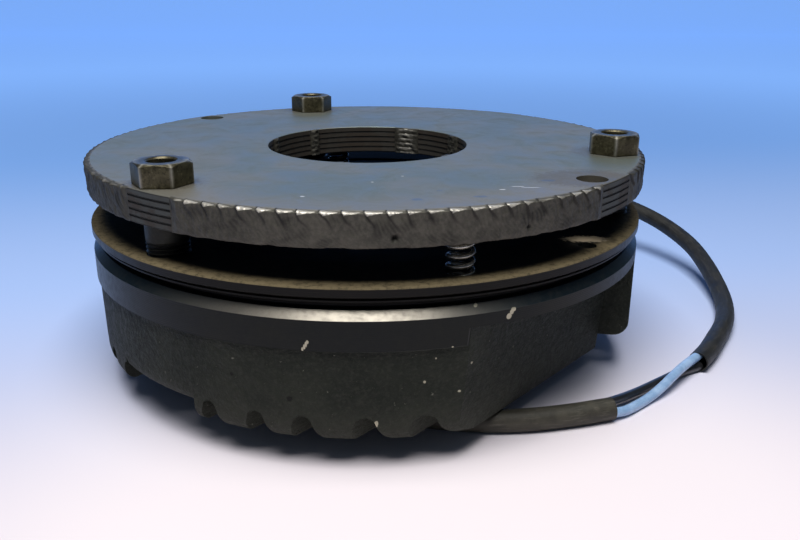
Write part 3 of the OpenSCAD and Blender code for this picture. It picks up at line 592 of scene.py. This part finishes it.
def weld_run(start, sweep, seed):
    """One bead round the rim. A scallop's edge is a line that runs down and to the right, one scallop's width
    from the next. Just right of it the bead stands 0.3 mm proud, and falls off to the next line."""
    columns = 560
    rows = 44
    scallop = 4.35
    lap = 1.4
    low_corner_r = 1.2
    high = Z_TOP - Z_PLATE
    angle = np.radians(np.linspace(start, start + sweep, columns))[None, :]
    v = np.linspace(0, 1, rows)[:, None]
    arc = angle * FLANGE_R
    end = np.minimum(arc - arc[0, 0], arc[0, -1] - arc)
    # section: over the top edge, down the face and round the bottom edge
    run = v * (2 * lap + high) - lap
    drop = np.clip(run, 0, high)
    inward = np.where(run < 0, -run, np.where(run > high, run - high, 0.0))
    share = drop / high
    # ripples
    lean = 3.2 * share + 2.6 * share ** 2 + 0.25 * wave_noise(arc, drop, 4.5, seed + 1)
    phase = (arc + 0.45 * wave_noise(arc, 0 * arc, 11, seed + 2) - lean) / scallop
    part = phase - np.floor(phase)
    crest = np.exp(-(part / 0.42) ** 1.3) * smooth_step(part / 0.045)
    upper = smooth_step((0.75 - share) / 0.7)
    curl = phase + 0.5 * share ** 2 - 0.9 * smooth_step((share - 0.45) / 0.5) * (share - 0.45)
    fine = np.sin(2 * np.pi * 4 * curl + 1.2 * wave_noise(arc, drop, 5, seed + 8))
    # the top corner is rounder where the crest is rubbed, the bottom corner is round all along
    top_r = 0.35 + 0.75 * crest
    ease_top = top_r * (1 - np.sqrt(np.clip(1 - (1 - np.clip(drop / top_r, 0, 1)) ** 2, 0, 1)))
    low = high - drop
    ease_low = 1 - np.sqrt(np.clip(1 - (1 - np.clip(low / low_corner_r, 0, 1)) ** 2, 0, 1))
    ease_low = low_corner_r * ease_low
    radius = FLANGE_R - 0.05 - 0.8 * ease_top - 0.5 * ease_low - inward
    radius = radius + (0.36 * crest - 0.1) * (0.18 + 0.82 * upper)
    radius = radius + 0.045 * fine * (1 - smooth_step(inward / 0.6))
    radius = radius + 0.06 * wave_noise(arc, drop, 2.4, seed + 3)
    radius = radius + 0.03 * wave_noise(arc, drop, 0.9, seed + 4)
    z = Z_TOP - drop - 0.3 * (1 - crest) * np.exp(-(share / 0.05) ** 2) * smooth_step((0.7 - inward) / 0.5)
    z = z + 0.1 * wave_noise(arc, drop, 4, seed + 5) * smooth_step((share - 0.85) / 0.15)
    # beads run out into the bare edges
    fade = smooth_step(end / 2.6)
    radius = np.where(inward > 1.0, np.minimum(radius, FLANGE_R - inward), radius)
    radius = radius * fade + np.minimum(radius, FLANGE_R - 0.5 - inward) * (1 - fade)
    # painted shade in the crevices along the upper part of the lines, in the fine ripples' troughs and in two
    # pits; grime in patches; and one nub on the front bead
    crease_shade = np.exp(-(np.minimum(part, 1 - part) / 0.07) ** 2) * smooth_step((0.6 - share) / 0.4)
    grimy = np.clip(wave_noise(arc, drop, 6, seed + 6) - 0.1, 0, 1)
    grime_and_shade = 0.95 * crease_shade + (0.3 * grimy + 0.16 * (1 - fine) * (0.4 + grimy)) * smooth_step(share / 0.3)
    for direction, down, size, depth in FRONT_PITS:
        away = (angle - np.radians(direction)) * FLANGE_R
        near = np.exp(-(away ** 2 + (drop - down) ** 2) / size ** 2)
        radius = radius - depth * near
        grime_and_shade = grime_and_shade + 2.2 * max(depth, 0.0) * near
    radius = np.minimum(radius, FLANGE_R + 0.4)
    radius = np.where((v < 1e-9) | (v > 1 - 1e-9), WELD_IN_R, radius)
    z = np.clip(z, Z_PLATE, Z_TOP - 0.01)
    z[0], z[-1] = Z_TOP - 0.02, Z_PLATE + 0.02
    angle = np.broadcast_to(angle, radius.shape)
    points = np.stack([radius * np.cos(angle), radius * np.sin(angle), z], -1)
    # painted highlight on the wedges: as deep as 1 mm at the line, and tapering to nothing at the next
    taper = (1 - part) * smooth_step(part / 0.045)
    bright = smooth_step((1.05 * taper - 0.1 - drop) / 0.4 + 0.4) * smooth_step((0.5 - inward) / 0.4) * fade
    bright = bright * smooth_step(taper / 0.25)
    # painted light: the highlight is brightest on the front of the rim, and painted shade darkens the beads
    # away from it
    forward = np.exp(-((np.degrees(angle) + 90 - 360 * (angle > np.pi / 2)) / 42) ** 2)
    grime_and_shade = grime_and_shade + 0.4 * (1 - forward)
    bright = bright * (0.3 + 0.7 * forward) * (0.95 + 0.25 * wave_noise(arc, 0 * arc, 8, seed + 7))
    flush = np.where(run < 0, smooth_step((inward - 0.35) / 0.3), 0.0) * np.ones_like(radius)
    return points, np.clip(bright, 0, 1), np.clip(grime_and_shade, 0, 1), flush


def rim_weld():
    """Four beads between the bare stretches, each a closed skin: the worked face, the inner wall and two
    ends."""
    skins, all_faces, marks = [], [], []
    base = 0
    window = 11.2
    first = -39.5 + window / 2
    for k in range(4):
        points, *values = weld_run(first + 90 * k, 90 - window, 40 + 10 * k)
        rows, columns = points.shape[:2]
        faces = grid_faces(rows, columns, close_rows=True) + base
        first_end = [i * columns + base for i in range(rows)]
        last_end = [i * columns + columns - 1 + base for i in range(rows)][::-1]
        all_faces += faces[:, ::-1].tolist() + [first_end, last_end]
        skins.append(points.reshape(-1, 3))
        marks.append([value.ravel() for value in values])
        base += rows * columns
    crest, grime_and_shade, flush = (np.concatenate(column) for column in zip(*marks))
    make_piece("rim_weld_beads", np.vstack(skins), all_faces, "armature", WELD, ("rim_weld",),
               {"crest": crest, "grime_and_shade": grime_and_shade, "flush": flush})


# The seams in the centre hole: direction and half width
BORE_SEAMS = ((24, 2.8), (64, 4.0), (126, 1.6), (164, 1.4), (257, 1.8), (318, 2.0))


def bore_welds():
    """Lumpy vertical seams in the centre hole: half an ellipse in plan, with a ripple for every 1.4 mm of
    height."""
    all_points, all_faces, crest = [], [], []
    base = 0
    rows, columns = 40, 26
    for k, (direction, half) in enumerate(BORE_SEAMS):
        u = np.linspace(-1, 1, columns)[None, :]
        z = np.linspace(Z_PLATE + 0.02, Z_TOP - 0.02, rows)[:, None]
        ripple = (z + 0.5 * u ** 2) / 1.4
        part = ripple - np.floor(ripple)
        dome = np.sqrt(np.clip(1 - u ** 2, 0, 1))
        bulge = 0.95 * dome * (0.86 + 0.14 * np.sin(np.pi * (z - Z_PLATE) / (Z_TOP - Z_PLATE)))
        lump = 0.16 * (part - 0.5) + 0.12 * wave_noise(half * u, z, 1.6, 90 + k)
        depth = bulge + lump * dome
        angle = np.radians(direction) + half * u / PLATE_BORE_R
        radius = PLATE_BORE_R + 0.05 - np.clip(depth, 0.0, 1.25)
        back_r = (PLATE_BORE_R + 0.2) * np.ones_like(radius)
        height = z * np.ones_like(radius)
        points = np.stack([radius * np.cos(angle), radius * np.sin(angle), height], -1)
        behind = np.stack([back_r * np.cos(angle), back_r * np.sin(angle), height], -1)
        ring = np.concatenate([points, behind[:, ::-1]], 1)
        count = 2 * columns
        low_end = [base + j for j in range(count)][::-1]
        high_end = [base + (rows - 1) * count + j for j in range(count)]
        all_faces += (grid_faces(rows, count, close_columns=True) + base).tolist() + [low_end, high_end]
        all_points.append(ring.reshape(-1, 3))
        # painted highlight on the seams' ripples, strongest on the seam at 64 degrees
        seam_highlight = np.clip(part * (1 - u ** 2), 0, 1) * (1.0 if direction == 64 else 0.45)
        crest.append(np.concatenate([seam_highlight, np.zeros_like(part)], 1).ravel())
        base += rows * count
    nothing = np.zeros(base)
    make_piece("bore_weld_seams", np.vstack(all_points), all_faces, "armature", WELD,
               ("bore_weld",), {"crest": np.concatenate(crest), "grime_and_shade": nothing + 0.25, "flush": nothing})


rim_weld()
bore_welds()


def sleeve_bolt(index):
    """Profile carried round the screw's axis. The head's radius is the flat's distance over the cosine of the
    angle from the nearest flat, cut off 0.1 mm short of the corner. The thread's radius is 5 mm less a V of
    0.45 mm that climbs 1 mm a turn and runs out under the plate."""
    flat = 6.12
    head_high = 5.3
    bore_r = 3.3
    sleeve_r = 5.0
    tooth_deep = 0.45
    count = 144
    turns = np.linspace(0, 2 * np.pi, count, endpoint=False)[None, :]
    from_flat = np.mod(turns, np.pi / 3) - np.pi / 6
    hex_r = np.minimum(flat / np.cos(from_flat), flat / np.cos(np.pi / 6) - 0.1)
    top = Z_TOP + head_high
    slope = np.tan(np.radians(30))
    crown_r = flat * 0.96
    ones = np.ones_like(hex_r)
    rows = []
    for radius, height in ((bore_r, Z_BOLT_LOW), (bore_r, 40), (bore_r, 52), (bore_r, top - 0.4),
                           (3.34, top - 0.36), (3.66, top - 0.03), (3.74, top), (4.5, top),
                           (crown_r - 0.12, top), (crown_r, top - 0.03)):
        rows.append((radius * ones, height * ones, 0.0))
    for share in (0.25, 0.5, 0.75, 1.0):
        r = crown_r + (hex_r - crown_r) * share
        rows.append((r - (0.03 if share == 1.0 else 0), top - 0.03 - (r - crown_r) * slope, 0.0))
    rows.append((hex_r, top - 0.1 - (hex_r - crown_r) * slope, 0.0))
    for radius, height in ((hex_r, Z_TOP + 2.5), (hex_r, Z_TOP + 0.2), (hex_r - 0.15, Z_TOP + 0.03),
                           (sleeve_r * ones, Z_TOP + 0.03), (sleeve_r * ones, 52.0),
                           (sleeve_r * ones, 48.5)):
        rows.append((radius, height * ones, 0.0))
    for height in np.arange(48.0, 40.9, -0.12):
        climb = height - turns / (2 * np.pi)
        tooth = np.abs(climb - np.floor(climb) - 0.5) * 2
        cut = smooth_step((46.4 - height) / 0.9) * smooth_step((1 - tooth) / 0.85)
        rows.append((sleeve_r - tooth_deep * cut, height * ones, cut))
    for radius, height in ((4.6, 40.8), (4.6, Z_BOLT_LOW + 0.5), (4.1, Z_BOLT_LOW)):
        rows.append((radius * ones, height * ones, 0.0))
    radius = np.concatenate([r for r, _, _ in rows])
    height = np.concatenate([h for _, h, _ in rows])
    # the thread's cut, kept as 'root' for the painted shade in its roots
    root = np.concatenate([np.broadcast_to(cut, (1, count)) for _, _, cut in rows])
    # rubbed where two flats meet and where the chamfer meets the top or the flats
    on_head = height > Z_TOP + 0.1
    near_corner = np.exp(-((np.pi / 6 - np.abs(from_flat)) / np.radians(2.6)) ** 2)
    crown = top - height
    near_crown = np.exp(-((radius - crown_r) / 0.22) ** 2) * (crown < 0.1)
    worn = on_head * (radius > 4.6) * np.clip(0.85 * near_corner + 0.6 * near_crown, 0, 1)
    direction = np.radians(BOLT_DIRECTIONS[index])
    turned = turns + np.radians(HEX_TURNS[index])
    points = np.stack([BOLT_R * np.cos(direction) + radius * np.cos(turned),
                       BOLT_R * np.sin(direction) + radius * np.sin(turned), height], -1)
    faces = grid_faces(len(rows), count, close_rows=True, close_columns=True)
    node = f"sleeve_bolt_{index + 1}"
    make_piece(f"{node}_threaded", points.reshape(-1, 3), faces.tolist(), "magnet", BOLT,
               (node,), {"root": root.ravel(), "worn": worn.ravel()}, sharp=24)


for bolt in range(len(BOLT_DIRECTIONS)):
    sleeve_bolt(bolt)


def pressure_spring(node, centre):
    """Round wire on a helix of 10 open turns between two closed ones, its ends ground flat."""
    wire, mean_r, turns, dead, sides = 1.2, 2.7, 10.0, 1.248, 12
    edge = wire / 4
    pitch = (SPRING_HEIGHT - 2 * dead - 2 * edge) / turns
    t = np.linspace(0, turns + 2, int((turns + 2) * 28) + 1)
    z = edge + np.where(t < 1, dead * t, np.where(t < turns + 1, dead + pitch * (t - 1),
                                                  dead + pitch * turns + dead * (t - 1 - turns)))
    line = np.stack([mean_r * np.cos(2 * np.pi * t), mean_r * np.sin(2 * np.pi * t), z], -1)
    tangent = np.gradient(line, axis=0)
    tangent /= np.linalg.norm(tangent, axis=1)[:, None]
    outward = np.stack([np.cos(2 * np.pi * t), np.sin(2 * np.pi * t), 0 * t], -1)
    upward = np.cross(outward, tangent)
    a = np.linspace(0, 2 * np.pi, sides, endpoint=False)
    ring = np.cos(a)[None, :, None] * outward[:, None] + np.sin(a)[None, :, None] * upward[:, None]
    points = line[:, None] + wire / 2 * ring
    points[..., 2] = np.clip(points[..., 2], 0, SPRING_HEIGHT) + Z_SPRING
    points[..., 0] += centre[0]
    points[..., 1] += centre[1]
    rows = len(t)
    faces = grid_faces(rows, sides, close_columns=True).tolist()
    faces.append(list(range(sides))[::-1])
    faces.append(list(range((rows - 1) * sides, rows * sides)))
    piece = make_piece(f"{node}_coil", points.reshape(-1, 3), faces, "magnet", SPRING,
                       (node,), sharp=60)
    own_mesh(piece)


for i, direction in enumerate(BOLT_DIRECTIONS):
    for kind, reach, turn in (("outer", BOLT_R, direction + 60), ("inner", INNER_SPRING_R, direction)):
        spot = (reach * np.cos(np.radians(turn)), reach * np.sin(np.radians(turn)))
        pressure_spring(f"{kind}_spring_{i + 1}", spot)


def dress(node, material):
    """Gives a CAD node that stays its material."""
    nodes[node].data.materials.clear()
    nodes[node].data.materials.append(material)


dress("magnet_housing", IRON)
for k in range(1, 6):
    dress(f"lamination_{k}", PLATE)
dress("coil_resin", RESIN)
dress("coil_former", FORMER)
dress("coil_winding", COPPER)
dress("lead_grommet", RUBBER)
dress("end_ferrules", FERRULE)


def backdrop():
    """A level floor that curves up behind along a quarter ellipse. It is near white in front and light blue
    behind. Far from the object it glows, so that it stays as bright there as it is under the lamp."""
    across = np.linspace(-1.6, 1.6, 9)
    bend = np.linspace(0.1, np.pi / 2, 14)
    depth = np.concatenate([np.linspace(-1.2, 1.6, 14), 1.6 + 0.5 * np.sin(bend), [2.1]])
    height = np.concatenate([np.zeros(14), 0.5 - 0.5 * np.cos(bend), [1.6]])
    x, y = np.meshgrid(across, depth, indexing="ij")
    z = np.broadcast_to(height, x.shape)
    mesh = bpy.data.meshes.new("sweep")
    points = np.stack([x, y, z], -1).reshape(-1, 3)
    mesh.from_pydata(points.tolist(), [], grid_faces(*x.shape)[:, ::-1].tolist())
    mesh.shade_smooth()
    sweep = bpy.data.objects.new("sweep", mesh)
    bpy.context.scene.collection.objects.link(sweep)
    material, tree, shader, place = blank(
        "paper_sweep", Roughness=0.9, Specular_IOR_Level=0.1, Emission_Strength=0.74)
    away = add(tree, SPLIT, {0: place}, "Y")
    beside = add(tree, SPLIT, {0: place}, "X")
    # the white reaches further back on the right
    turned = add(tree, MATH, {0: beside, 1: -0.12, 2: away}, operation="MULTIPLY_ADD")
    middle = add(tree, RANGE, {0: turned, 1: -0.09, 2: 0.07})
    far = add(tree, RANGE, {0: turned, 1: 0.02, 2: 0.32})
    # painted light: brightest in front of the object, a little duller towards the sides
    to_front = add(tree, VECTOR, {0: place, 1: (0.02, -0.1, 0)}, "Value", operation="DISTANCE")
    aside = add(tree, RANGE, {0: to_front, 1: 0.06, 2: 0.16})
    colour = layered(tree, linear("e8dfe4"), (aside, 1.0, linear("c6c3d2")),
                     (middle, 1.0, linear("a9c1ee")), (far, 1.0, linear("84b2f2")))
    tree.links.new(colour, shader.inputs["Base Color"])
    distance = add(tree, VECTOR, {0: place}, "Value", operation="LENGTH")
    glowing = add(tree, RANGE, {0: distance, 1: 0.12, 2: 0.95})
    glow = layered(tree, (0.0, 0.0, 0.0, 1.0), (glowing, 1.0, colour))
    tree.links.new(glow, shader.inputs["Emission Color"])
    mesh.materials.append(material)


backdrop()

overhead = bpy.data.lights.new("overhead_softbox", "AREA")
overhead.shape = "RECTANGLE"
overhead.size = 0.46
overhead.size_y = 0.46
overhead.energy = 7.5
overhead.color = (1.0, 0.985, 0.955)
lamp = bpy.data.objects.new("overhead_softbox", overhead)
bpy.context.scene.collection.objects.link(lamp)
lamp.location = (-0.03, -0.23, 0.72)

world = bpy.data.worlds.new("room")
world.use_nodes = True
world.node_tree.nodes["Background"].inputs["Color"].default_value = (0.55, 0.75, 1.0, 1)
world.node_tree.nodes["Background"].inputs["Strength"].default_value = 0.1
bpy.context.scene.world = world
bpy.context.scene.view_settings.view_transform = "Standard"
